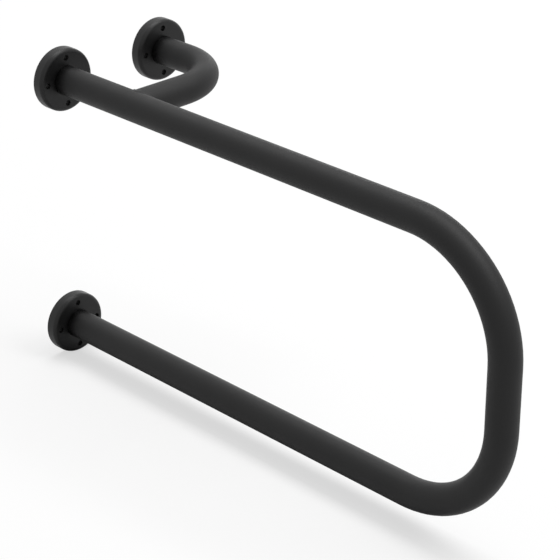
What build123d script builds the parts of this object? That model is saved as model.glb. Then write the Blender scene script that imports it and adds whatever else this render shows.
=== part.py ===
# Wall grab rail: a tube bent to a U, braced by a side leg, on three round wall flanges.
# The wall is the plane y = 0 and the rail stands out along -Y. The origin is the centre of
# the upper flange on the wall, +X runs along the wall to the side leg and +Z is up.
import os
from math import sqrt

from build123d import *

os.makedirs("parts", exist_ok=True)

# Tube, shared by the main rail and the side leg
tube_diameter = 35.0
tube_wall = 2.0
tube_setback = 2.0  # from the wall to the tube's end, inside the flange

# Main rail
rail_reach = 700.0  # wall to the outside of the end bend
bar_spacing = 318.0  # upper to lower bar, between centrelines
rail_bend_radius = 123.0  # at the centreline

# Side leg
leg_offset = 150.0  # upper flange to side flange, between centres
leg_reach = 133.0  # wall to the centreline of the cross run
leg_bend_radius = 75.0  # at the centreline
cope_gap = 0.1  # fit-up gap between the leg's saddle and the bar

# Wall flanges, hollow behind
flange_diameter = 76.0
flange_depth = 14.5
flange_edge_radius = 4.5
flange_wall = 3.0
collar_wall = 3.0
collar_setback = 6.0  # from the wall to the collar's end
bore_clearance = 0.15  # around the tube
hole_circle = 56.0
hole_count = 4
hole_diameter = 7.0
boss_wall = 4.0  # around each screw hole

# Welds
ring_weld_leg = 3.0
ring_weld_bulge = 0.3
weld_room = 1.0  # between the ring weld's toe and the bosses
saddle_weld_radius = 3.0
saddle_weld_fade = 0.5  # depth of the bead under the surface where the two crowns meet
saddle_weld_half_angle = 80.0  # of the bead's run, up and down from the level of the tubes' axes

tube_radius = tube_diameter / 2
rail_end = rail_reach - tube_radius
bore_radius = tube_radius + bore_clearance
boss_radius = hole_diameter / 2 + boss_wall

# Each flange's seat: its origin is on the wall and its normal points out from the wall
upper_seat = Plane.XZ
lower_seat = Plane(origin=(0, 0, -bar_spacing), x_dir=(1, 0, 0), z_dir=(0, -1, 0))
side_seat = Plane(origin=(leg_offset, 0, 0), x_dir=(1, 0, 0), z_dir=(0, -1, 0))

# The joint between the leg and the upper bar: a plane across each tube, and one through the bead
joint_centre = Vector(0, -leg_reach, 0)
bar_section = Plane(origin=joint_centre, x_dir=(-1, 0, 0), z_dir=(0, -1, 0))
leg_section = Plane(origin=joint_centre, x_dir=(0, -1, 0), z_dir=(1, 0, 0))
bead_plane = Plane(origin=joint_centre, x_dir=(1, 1, 0), z_dir=(1, -1, 0))


def tube_profile():
    Circle(tube_radius)
    Circle(tube_radius - tube_wall, mode=Mode.SUBTRACT)


# Main rail: out along the upper bar, down the end and back along the lower bar
with BuildPart() as main_rail:
    with BuildLine() as rail_path:
        FilletPolyline(
            (0, -tube_setback, 0),
            (0, -rail_end, 0),
            (0, -rail_end, -bar_spacing),
            (0, -tube_setback, -bar_spacing),
            radius=rail_bend_radius,
        )
    with BuildSketch(upper_seat.offset(tube_setback)):
        tube_profile()
    sweep(path=rail_path.wire())
main_rail.part.label = "main_rail"
export_step(main_rail.part, "parts/main_rail.step")

# Side leg: from the bar's centreline across, round the bend and back to the wall, then coped to the bar
with BuildPart() as side_leg:
    with BuildLine() as leg_path:
        FilletPolyline(
            joint_centre,
            (leg_offset, -leg_reach, 0),
            (leg_offset, -tube_setback, 0),
            radius=leg_bend_radius,
        )
    with BuildSketch(leg_section):
        tube_profile()
    sweep(path=leg_path.wire())
    with BuildSketch(bar_section):
        Circle(tube_radius + cope_gap)
    extrude(amount=tube_diameter, both=True, mode=Mode.SUBTRACT)
side_leg.part.label = "side_leg"
export_step(side_leg.part, "parts/side_leg.step")

# Saddle weld: a bead on each side of the leg, along the curve where the two tubes cross.
# Its path is an ellipse a little lower than that curve, so the bead runs out before the crowns.
with BuildPart() as leg_weld:
    with BuildLine(bead_plane) as bead_path:
        EllipticalCenterArc(
            (0, 0),
            tube_radius * sqrt(2),
            tube_radius - saddle_weld_radius - saddle_weld_fade,
            start_angle=-saddle_weld_half_angle,
            arc_size=2 * saddle_weld_half_angle,
        )
    with BuildSketch(Plane(origin=bead_path.line @ 0, z_dir=bead_path.line % 0)):
        Circle(saddle_weld_radius)
    sweep(path=bead_path.wire())
    with BuildSketch(bar_section):
        Circle(tube_radius)
    extrude(amount=tube_diameter, both=True, mode=Mode.SUBTRACT)
    with BuildSketch(leg_section):
        Circle(tube_radius)
    extrude(amount=tube_diameter, mode=Mode.SUBTRACT)
    mirror(about=bar_section)
leg_weld.part.label = "leg_weld"
export_step(leg_weld.part, "parts/leg_weld.step")


# Wall flange: a round cup with an eased front edge, a collar for the tube and a boss at each screw hole
def make_flange(name, seat):
    with BuildPart() as flange:
        with BuildSketch(seat):
            Circle(flange_diameter / 2)
        extrude(amount=flange_depth)
        front_face = flange.faces().sort_by(Axis.Y)[0]
        fillet(front_face.edges(), radius=flange_edge_radius)
        back_face = flange.faces().sort_by(Axis.Y)[-1]
        offset(amount=-flange_wall, openings=back_face)
        with BuildSketch(seat.offset(collar_setback)):
            Circle(bore_radius + collar_wall)
        extrude(amount=flange_depth - collar_setback)
        with BuildSketch(seat):
            with PolarLocations(hole_circle / 2, hole_count):
                Circle(boss_radius)
        extrude(amount=flange_depth - flange_wall)
        with BuildSketch(seat):
            Circle(tube_radius + ring_weld_leg + weld_room)
        extrude(amount=collar_setback, mode=Mode.SUBTRACT)
        with BuildSketch(seat):
            Circle(bore_radius)
            with PolarLocations(hole_circle / 2, hole_count):
                Circle(hole_diameter / 2)
        extrude(amount=flange_depth, mode=Mode.SUBTRACT)
    flange.part.label = name
    export_step(flange.part, f"parts/{name}.step")


# Ring weld behind a flange: a slightly convex fillet between the tube and the collar's end
def make_ring_weld(name, seat):
    section = Plane(origin=seat.origin, x_dir=seat.x_dir, z_dir=-seat.y_dir)
    corner = Vector(tube_radius, collar_setback)
    tube_toe = corner - (0, ring_weld_leg)
    collar_toe = corner + (ring_weld_leg, 0)
    crest = (tube_toe + collar_toe) / 2 + Vector(1, -1).normalized() * ring_weld_bulge
    with BuildPart() as weld:
        with BuildSketch(section):
            with BuildLine():
                Polyline(tube_toe, corner, collar_toe)
                ThreePointArc(collar_toe, crest, tube_toe)
            make_face()
        revolve(axis=Axis(seat.origin, seat.z_dir))
    weld.part.label = name
    export_step(weld.part, f"parts/{name}.step")


for place, seat in (("upper", upper_seat), ("lower", lower_seat), ("side", side_seat)):
    make_flange(f"{place}_flange", seat)
    make_ring_weld(f"{place}_flange_weld", seat)
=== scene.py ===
from math import cos, pi, radians, sin, sqrt

import bmesh
import bpy
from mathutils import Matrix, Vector


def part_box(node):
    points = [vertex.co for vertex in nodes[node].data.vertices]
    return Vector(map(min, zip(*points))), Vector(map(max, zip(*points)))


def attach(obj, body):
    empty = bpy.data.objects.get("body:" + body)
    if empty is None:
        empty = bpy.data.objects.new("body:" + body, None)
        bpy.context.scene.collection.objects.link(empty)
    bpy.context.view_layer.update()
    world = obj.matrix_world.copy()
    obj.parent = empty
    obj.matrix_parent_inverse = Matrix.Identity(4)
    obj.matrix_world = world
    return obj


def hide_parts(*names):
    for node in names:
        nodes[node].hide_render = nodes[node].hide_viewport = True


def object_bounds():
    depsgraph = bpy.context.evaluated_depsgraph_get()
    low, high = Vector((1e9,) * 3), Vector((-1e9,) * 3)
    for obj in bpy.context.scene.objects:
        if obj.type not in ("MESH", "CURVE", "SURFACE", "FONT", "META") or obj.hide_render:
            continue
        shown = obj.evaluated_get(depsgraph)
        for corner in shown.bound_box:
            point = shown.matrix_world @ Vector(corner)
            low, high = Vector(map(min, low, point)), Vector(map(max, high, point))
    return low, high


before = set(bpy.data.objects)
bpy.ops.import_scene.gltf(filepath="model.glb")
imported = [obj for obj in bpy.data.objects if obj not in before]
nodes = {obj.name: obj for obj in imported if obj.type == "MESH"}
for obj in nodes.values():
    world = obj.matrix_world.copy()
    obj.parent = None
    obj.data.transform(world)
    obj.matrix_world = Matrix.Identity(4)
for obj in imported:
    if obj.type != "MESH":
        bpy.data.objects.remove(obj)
cadLow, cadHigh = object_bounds()
print("frame loaded:", len(nodes), "CAD nodes")


# helpers for nodes and objects

def addNode(tree, kind, x, y, **settings):
    node = tree.nodes.new(kind)
    node.location = (x, y)
    for name, value in settings.items():
        setattr(node, name, value)
    return node


def setInputs(node, **values):
    for name, value in values.items():
        node.inputs[name.replace("_", " ")].default_value = value


def addToScene(name, data):
    thing = bpy.data.objects.new(name, data)
    bpy.context.scene.collection.objects.link(thing)
    return thing


# powder coat effect, shared by every coated material: orange peel, fine grain, faint mottling,
# and painted shade in corners and holes, where the colour is darkened and the film made smoother

filmSettings = {
    "peelDetail": 2.0,
    "peelBreakUp": 0.45,
    "grainDetail": 3.0,
    "grainBreakUp": 0.6,
    "driftPerMetre": 26.0,  # slow changes of tone, over a few centimetres
    "driftDetail": 4.0,
    "driftBreakUp": 0.55,
    "speckShare": 0.35,  # of the grain, in the changes of tone
    "recessSamples": 8,
}


def addFilmNoise(group, y, name):
    noise = addNode(group, "ShaderNodeTexNoise", -600, y)
    setInputs(noise, Detail=filmSettings[f"{name}Detail"], Roughness=filmSettings[f"{name}BreakUp"])
    return noise


def makePowderGroup():
    group = bpy.data.node_groups.new("powderCoat", "ShaderNodeTree")
    sockets = group.interface
    sockets.new_socket("Tint", in_out="INPUT", socket_type="NodeSocketColor")
    for name in (
        "Mottle", "Peel Per Metre", "Grain Per Metre", "Grain Share", "Roughness Middle", "Roughness Spread",
        "Recess Reach", "Recess Floor", "Recess Roughness",
    ):
        sockets.new_socket(name, in_out="INPUT", socket_type="NodeSocketFloat")
    sockets.new_socket("Color", in_out="OUTPUT", socket_type="NodeSocketColor")
    sockets.new_socket("Roughness", in_out="OUTPUT", socket_type="NodeSocketFloat")
    sockets.new_socket("Height", in_out="OUTPUT", socket_type="NodeSocketFloat")
    link = group.links.new
    entry = addNode(group, "NodeGroupInput", -900, 0)
    leave = addNode(group, "NodeGroupOutput", 900, 0)
    place = addNode(group, "ShaderNodeTexCoord", -900, 300)
    peel = addFilmNoise(group, 300, "peel")
    grain = addFilmNoise(group, 0, "grain")
    drift = addFilmNoise(group, -300, "drift")
    for noise in (peel, grain, drift):
        link(place.outputs["Object"], noise.inputs["Vector"])
    link(entry.outputs["Peel Per Metre"], peel.inputs["Scale"])
    link(entry.outputs["Grain Per Metre"], grain.inputs["Scale"])
    setInputs(drift, Scale=filmSettings["driftPerMetre"])

    # the film's own relief
    relief = addNode(group, "ShaderNodeMix", -300, 200, data_type="FLOAT")
    link(entry.outputs["Grain Share"], relief.inputs["Factor"])
    link(peel.outputs["Fac"], relief.inputs["A"])
    link(grain.outputs["Fac"], relief.inputs["B"])
    link(relief.outputs["Result"], leave.inputs["Height"])

    # slow drift in tone and roughness, with the grain's specks on it
    blend = addNode(group, "ShaderNodeMix", -300, -200, data_type="FLOAT")
    setInputs(blend, Factor=filmSettings["speckShare"])
    link(drift.outputs["Fac"], blend.inputs["A"])
    link(grain.outputs["Fac"], blend.inputs["B"])
    centred = addNode(group, "ShaderNodeMath", -100, -200, operation="SUBTRACT")
    centred.inputs[1].default_value = 0.5  # the noise's own middle
    link(blend.outputs["Result"], centred.inputs[0])
    swing = addNode(group, "ShaderNodeMath", 80, -200, operation="MULTIPLY_ADD")
    link(centred.outputs[0], swing.inputs[0])
    link(entry.outputs["Mottle"], swing.inputs[1])
    swing.inputs[2].default_value = 1.0
    toned = addNode(group, "ShaderNodeVectorMath", 300, -100, operation="SCALE")
    link(entry.outputs["Tint"], toned.inputs[0])
    link(swing.outputs[0], toned.inputs["Scale"])
    matt = addNode(group, "ShaderNodeMath", 300, -350, operation="MULTIPLY_ADD")
    link(centred.outputs[0], matt.inputs[0])
    link(entry.outputs["Roughness Spread"], matt.inputs[1])
    link(entry.outputs["Roughness Middle"], matt.inputs[2])

    # 1 in the open, 0 deep in a corner or a hole; drives the painted shade and the smoother film there
    hollow = addNode(group, "ShaderNodeAmbientOcclusion", -600, -600, samples=filmSettings["recessSamples"])
    link(entry.outputs["Recess Reach"], hollow.inputs["Distance"])
    inOpen = addNode(group, "ShaderNodeMapRange", -300, -600)
    setInputs(inOpen, From_Max=1.0)
    link(hollow.outputs["AO"], inOpen.inputs["Value"])
    link(entry.outputs["Recess Floor"], inOpen.inputs["From Min"])
    # painted shade: the tint darkened by how enclosed the surface is, down to black deep in a recess
    paintedShadeColour = addNode(group, "ShaderNodeVectorMath", 600, -100, operation="SCALE")
    link(toned.outputs[0], paintedShadeColour.inputs[0])
    link(inOpen.outputs["Result"], paintedShadeColour.inputs["Scale"])
    link(paintedShadeColour.outputs[0], leave.inputs["Color"])
    share = addNode(group, "ShaderNodeMix", 300, -600, data_type="FLOAT")
    setInputs(share, B=1.0)
    link(inOpen.outputs["Result"], share.inputs["Factor"])
    link(entry.outputs["Recess Roughness"], share.inputs["A"])
    smoothed = addNode(group, "ShaderNodeMath", 600, -350, operation="MULTIPLY")
    link(matt.outputs[0], smoothed.inputs[0])
    link(share.outputs["Result"], smoothed.inputs[1])
    link(smoothed.outputs[0], leave.inputs["Roughness"])
    return group


powderGroup = makePowderGroup()


def makeCoat(name, settings):
    coat = bpy.data.materials.new(name)
    coat.use_nodes = True
    tree = coat.node_tree
    shader = tree.nodes["Principled BSDF"]
    setInputs(shader, Specular_IOR_Level=settings["specular"])
    powder = addNode(tree, "ShaderNodeGroup", -500, 200)
    powder.node_tree = powderGroup
    setInputs(
        powder,
        Tint=(*settings["tint"], 1.0),
        Mottle=settings["mottle"],
        Peel_Per_Metre=settings["peelPerMetre"],
        Grain_Per_Metre=settings["grainPerMetre"],
        Grain_Share=settings["grainShare"],
        Roughness_Middle=settings["roughness"],
        Roughness_Spread=settings["roughnessSpread"],
        Recess_Reach=settings["recessReach"],
        Recess_Floor=settings["recessFloor"],
        Recess_Roughness=settings["recessRoughness"],
    )
    bump = addNode(tree, "ShaderNodeBump", -250, -150)
    setInputs(bump, Strength=settings["reliefStrength"], Distance=settings["reliefDepth"])
    link = tree.links.new
    link(powder.outputs["Color"], shader.inputs["Base Color"])
    link(powder.outputs["Roughness"], shader.inputs["Roughness"])
    link(powder.outputs["Height"], bump.inputs["Height"])
    link(bump.outputs["Normal"], shader.inputs["Normal"])
    return coat


def paint(piece, coat):
    if not piece.material_slots:
        piece.data.materials.append(coat)
    for place in piece.material_slots:
        place.material = coat


# rail and leg tubes: an even coat with a fine orange peel

tubeCoatSettings = {
    "tint": (0.005, 0.005, 0.0052),
    "mottle": 0.22,
    "peelPerMetre": 650.0,
    "grainPerMetre": 2300.0,
    "grainShare": 0.5,
    "roughness": 0.56,
    "roughnessSpread": 0.2,
    "reliefStrength": 0.7,
    "reliefDepth": 0.0002,
    "specular": 0.32,
    # recess values: how far the painted shade in corners and holes reaches, and how smooth the film gets
    # there
    "recessReach": 0.022,
    "recessFloor": 0.4,  # openness at which a recess counts as deep, where the painted shade is black
    "recessRoughness": 0.38,  # share of the roughness left there
}
tubeCoat = makeCoat("tubeCoat", tubeCoatSettings)
for name in ("main_rail", "side_leg"):
    paint(nodes[name], tubeCoat)

# flanges: the same film, run out smoother on their flat faces, with a wider peel

flangeCoatSettings = dict(
    tubeCoatSettings,
    peelPerMetre=480.0,
    roughness=0.41,
    reliefStrength=0.5,
    specular=0.31,
    # painted shade only close to the holes and the tube
    recessReach=0.006,
    recessFloor=0.2,
    recessRoughness=0.3,
)
flangeCoat = makeCoat("flangeCoat", flangeCoatSettings)
for name in ("upper_flange", "lower_flange", "side_flange"):
    paint(nodes[name], flangeCoat)

# welds: a little smoother than the tubes, with less grain

weldCoatSettings = dict(tubeCoatSettings, roughness=0.52, grainShare=0.35)
weldCoat = makeCoat("weldCoat", weldCoatSettings)
print("coats made")


# weld beads: rippled runs in the places of the plain beads in the frame

beadSettings = {
    "pitch": 0.0019,  # from ripple to ripple
    "rippleHeight": 0.00025,
    "bow": 0.8,  # how far a ripple's crest trails at the middle of the bead, in pitches
    "unevenness": 0.25,
    "unevenWaves": (5.0, 3.0),  # over the whole bead
    "stepsPerRipple": 8,
    "sectionSteps": 10,
    "sharpAngle": 50.0,
    "mergeDistance": 0.000001,  # at which points of the mesh are joined
}


def rippleAt(count, along, across):
    trail = beadSettings["bow"] * (1.0 - (2.0 * across - 1.0) ** 2)
    crest = abs(sin(pi * (count * along - trail)))
    first, second = beadSettings["unevenWaves"]
    wave = sin(2.0 * pi * first * along) * cos(2.0 * pi * second * along)
    size = 1.0 + beadSettings["unevenness"] * wave
    return beadSettings["rippleHeight"] * crest * size * sin(pi * across)


def stitchBead(name, runs, closed, cadNode):
    shape = bmesh.new()
    for rings in runs:
        loops = [[shape.verts.new(point) for point in ring] for ring in rings]
        following = loops[1:] + loops[:1] if closed else loops[1:]
        for here, there in zip(loops, following):
            for i in range(len(here)):
                j = (i + 1) % len(here)
                shape.faces.new((here[i], here[j], there[j], there[i]))
    bmesh.ops.remove_doubles(shape, verts=shape.verts, dist=beadSettings["mergeDistance"])
    bmesh.ops.recalc_face_normals(shape, faces=shape.faces)
    mesh = bpy.data.meshes.new(name)
    shape.to_mesh(mesh)
    shape.free()
    mesh.shade_smooth()
    mesh.set_sharp_from_angle(angle=radians(beadSettings["sharpAngle"]))
    bead = addToScene(name, mesh)
    paint(bead, weldCoat)
    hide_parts(cadNode)
    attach(bead, "root")


# ring weld behind a flange, between the tube and the collar's end

ringSettings = {
    "crown": 0.0002,  # of the bead's face over its flat
}


def makeRingWeld(name, cadNode):
    low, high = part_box(cadNode)
    hub = Vector(((low.x + high.x) / 2.0, low.y, (low.z + high.z) / 2.0))
    outer = (high.x - low.x) / 2.0
    leg = high.y - low.y
    inner = outer - leg
    count = round(2.0 * pi * (inner + leg / 2.0) / beadSettings["pitch"])
    steps = count * beadSettings["stepsPerRipple"]
    rings = []
    for i in range(steps):
        along = i / steps
        ray = Vector((cos(2.0 * pi * along), 0.0, sin(2.0 * pi * along)))
        ring = [hub + ray * inner]
        for j in range(beadSettings["sectionSteps"] + 1):
            across = j / beadSettings["sectionSteps"]
            swell = ringSettings["crown"] * sin(pi * across) + rippleAt(count, along, across)
            reach = inner + leg * (1.0 - across) + swell / sqrt(2.0)
            rise = leg * across + swell / sqrt(2.0)
            ring.append(hub + ray * reach + Vector((0.0, rise, 0.0)))
        rings.append(ring)
    stitchBead(name, [rings], True, cadNode)


for place in ("upper", "lower", "side"):
    makeRingWeld(f"{place}RingWeld", f"{place}_flange_weld")


# saddle weld where the leg meets the upper bar: a bead on each side, run out before the crowns

saddleSettings = {
    "radius": 0.003,
    "sink": 0.00395,  # how far under the surface the bead's centre would lie at the crowns
    "halfAngle": 60.0,
    "length": 2.7,  # that the ripples are shared out over, in tube radii
    "crown": 0.29,  # of the bead's face over its flat, as a share of the bead's reach
    "seat": 0.00005,  # of the toes and the root, into the tubes
}


def ontoTube(point, axis, radius):
    along = point.dot(axis) * axis
    return along + (point - along).normalized() * radius


def facing(vector, side):
    return vector if vector.dot(side) > 0.0 else -vector


def makeSaddleWeld(name, cadNode):
    legLow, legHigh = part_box("side_leg")
    tubeRadius = (legHigh.z - legLow.z) / 2.0
    seatRadius = tubeRadius - saddleSettings["seat"]
    joint = Vector((0.0, legLow.y + tubeRadius, 0.0))
    barAxis = Vector((0.0, 1.0, 0.0))
    legAxis = Vector((1.0, 0.0, 0.0))
    halfAngle = radians(saddleSettings["halfAngle"])
    count = round(saddleSettings["length"] * tubeRadius / beadSettings["pitch"])
    steps = count * beadSettings["stepsPerRipple"]
    runs = []
    for side in (1.0, -1.0):
        rings = []
        for i in range(steps + 1):
            along = i / steps
            turn = halfAngle * (2.0 * along - 1.0)
            barNormal = Vector((cos(turn), 0.0, sin(turn)))
            legNormal = Vector((0.0, side * cos(turn), sin(turn)))
            run = Vector((-sin(turn), -side * sin(turn), cos(turn))).normalized()
            depth = saddleSettings["sink"] * sin(turn) ** 2
            reach = sqrt(max(saddleSettings["radius"] ** 2 - depth ** 2, 0.0))
            fade = reach / saddleSettings["radius"]
            out = (barNormal + legNormal).normalized()
            root = seatRadius * Vector((cos(turn), side * cos(turn), sin(turn)))
            # the toes lie on the two tubes
            barToe = ontoTube(root + reach * facing(run.cross(barNormal), legNormal), barAxis, seatRadius)
            legToe = ontoTube(root + reach * facing(run.cross(legNormal), barNormal), legAxis, seatRadius)
            ring = [joint + root]
            for j in range(beadSettings["sectionSteps"] + 1):
                across = j / beadSettings["sectionSteps"]
                crown = saddleSettings["crown"] * reach * sin(pi * across)
                swell = crown + fade * rippleAt(count, along, across)
                ring.append(joint + barToe.lerp(legToe, across) + swell * out)
            rings.append(ring)
        runs.append(rings)
    stitchBead(name, runs, False, cadNode)


makeSaddleWeld("saddleWeld", "leg_weld")
print("weld beads made")


# which rays a surface is seen by: the camera's, the coat's gloss, or either

def highest(tree, x, y, first, second):
    node = addNode(tree, "ShaderNodeMath", x, y, operation="MAXIMUM")
    tree.links.new(first, node.inputs[0])
    tree.links.new(second, node.inputs[1])
    return node.outputs[0]


def rayMasks(tree):
    rays = addNode(tree, "ShaderNodeLightPath", -800, 0)
    camera = rays.outputs["Is Camera Ray"]
    mirror = highest(tree, -600, 0, rays.outputs["Is Glossy Ray"], rays.outputs["Is Transmission Ray"])
    either = highest(tree, -400, 0, camera, mirror)
    return {"camera": camera, "mirror": mirror, "either": either}


# floor: pale, white where nothing shades it, and plain white far off

floorSettings = {
    "halfSize": 30.0,
    "colour": (0.38, 0.38, 0.38, 1.0),
    "cameraLift": 0.62,  # added for the camera only, so that the shadow stays faint
    "mirrorColour": (0.95, 0.95, 0.95, 1.0),  # what the coat's gloss sees
    "fadeFrom": 1.5,  # metres from the middle
    "fadeTo": 5.0,
}


def makeFloorPaper(settings):
    paper = bpy.data.materials.new("floorPaper")
    paper.use_nodes = True
    tree = paper.node_tree
    tree.nodes.clear()
    link = tree.links.new
    seenBy = rayMasks(tree)

    # near by: matt paper that takes the shadow
    matte = addNode(tree, "ShaderNodeBsdfDiffuse", -150, 200)
    setInputs(matte, Color=settings["colour"])
    mirrorMatte = addNode(tree, "ShaderNodeBsdfDiffuse", -150, 50)
    setInputs(mirrorMatte, Color=settings["mirrorColour"])
    sheet = addNode(tree, "ShaderNodeMixShader", 50, 100)
    link(seenBy["mirror"], sheet.inputs["Fac"])
    link(matte.outputs[0], sheet.inputs[1])
    link(mirrorMatte.outputs[0], sheet.inputs[2])
    lift = addNode(tree, "ShaderNodeMath", -150, -100, operation="MULTIPLY")
    link(seenBy["camera"], lift.inputs[0])
    lift.inputs[1].default_value = settings["cameraLift"]
    glow = addNode(tree, "ShaderNodeEmission", 50, -100)
    link(lift.outputs[0], glow.inputs["Strength"])
    nearBy = addNode(tree, "ShaderNodeAddShader", 200, 0)
    link(sheet.outputs[0], nearBy.inputs[0])
    link(glow.outputs[0], nearBy.inputs[1])

    # far off: plain white
    farOff = addNode(tree, "ShaderNodeEmission", 200, -200)
    link(seenBy["either"], farOff.inputs["Strength"])
    place = addNode(tree, "ShaderNodeTexCoord", -150, 300)
    distance = addNode(tree, "ShaderNodeVectorMath", 0, 300, operation="LENGTH")
    link(place.outputs["Object"], distance.inputs[0])
    fade = addNode(tree, "ShaderNodeMapRange", 200, 300, interpolation_type="SMOOTHSTEP")
    setInputs(fade, From_Min=settings["fadeFrom"], From_Max=settings["fadeTo"])
    link(distance.outputs["Value"], fade.inputs["Value"])
    whole = addNode(tree, "ShaderNodeMixShader", 400, 0)
    link(fade.outputs["Result"], whole.inputs["Fac"])
    link(nearBy.outputs[0], whole.inputs[1])
    link(farOff.outputs[0], whole.inputs[2])
    out = addNode(tree, "ShaderNodeOutputMaterial", 600, 0)
    link(whole.outputs[0], out.inputs["Surface"])
    return paper


def makeFloor(settings):
    half = settings["halfSize"]
    level = cadLow.z
    corners = [(-half, -half, level), (half, -half, level), (half, half, level), (-half, half, level)]
    mesh = bpy.data.meshes.new("floor")
    mesh.from_pydata(corners, [], [(0, 1, 2, 3)])
    floor = addToScene("floor", mesh)
    floor.data.materials.append(makeFloorPaper(settings))


makeFloor(floorSettings)
print("floor at", round(cadLow.z, 4))


# studio light: an even dome that fills the shade, one long softbox high over the bars, and a low strip
# behind them that lights their top edges

domeSettings = {
    "fill": 0.25,
    "backdrop": 1.0,  # white, for the camera and the coat's gloss
    "colour": (1.0, 1.0, 1.0, 1.0),
}

softboxSettings = {
    "place": (2.75, -3.1, 8.0),
    "width": 4.9,
    "length": 16.5,
    "turn": 9.0,  # from +Y towards -X
    "watts": 980.0,  # with the dome, about 1 on the floor
}

stripSettings = {
    "place": (7.5, 4.5, 1.0),
    "width": 3.0,
    "length": 1.5,
    "watts": 42.0,
}


def makeWorld(settings):
    world = bpy.data.worlds.new("studio")
    bpy.context.scene.world = world
    world.use_nodes = True
    tree = world.node_tree
    tree.nodes.clear()
    link = tree.links.new
    seenBy = rayMasks(tree)
    dome = addNode(tree, "ShaderNodeBackground", 0, 100)
    setInputs(dome, Strength=settings["fill"], Color=settings["colour"])
    backdrop = addNode(tree, "ShaderNodeBackground", 0, -100)
    setInputs(backdrop, Strength=settings["backdrop"], Color=settings["colour"])
    pick = addNode(tree, "ShaderNodeMixShader", 200, 0)
    link(seenBy["either"], pick.inputs["Fac"])
    link(dome.outputs[0], pick.inputs[1])
    link(backdrop.outputs[0], pick.inputs[2])
    out = addNode(tree, "ShaderNodeOutputWorld", 400, 0)
    link(pick.outputs[0], out.inputs["Surface"])


def makeLamp(name, settings, rotation):
    lamp = bpy.data.lights.new(name, "AREA")
    lamp.shape = "RECTANGLE"
    lamp.size = settings["width"]
    lamp.size_y = settings["length"]
    lamp.energy = settings["watts"]
    holder = addToScene(name, lamp)
    holder.location = settings["place"]
    holder.rotation_euler = rotation
    holder.visible_camera = False


makeWorld(domeSettings)
makeLamp("softbox", softboxSettings, (0.0, 0.0, radians(softboxSettings["turn"])))  # shines straight down
towardsRail = (cadLow + cadHigh) / 2.0 - Vector(stripSettings["place"])
makeLamp("strip", stripSettings, towardsRail.to_track_quat("-Z", "Y").to_euler())
print("light set")


# camera at the photograph's angle

cameraSettings = {
    "place": (-1.3693, -1.7567, 0.8121),
    "azimuth": -44.599,
    "elevation": 25.937,
    "lens": 128.69,
    "sensor": 36.0,
}


def makeCamera(settings):
    lens = bpy.data.cameras.new("camera")
    lens.sensor_width = settings["sensor"]
    lens.lens = settings["lens"]
    camera = addToScene("camera", lens)
    camera.location = settings["place"]
    camera.rotation_euler = (radians(90.0 - settings["elevation"]), 0.0, radians(settings["azimuth"]))
    bpy.context.scene.camera = camera


makeCamera(cameraSettings)
bpy.context.scene.view_settings.view_transform = "Standard"
print("camera set")
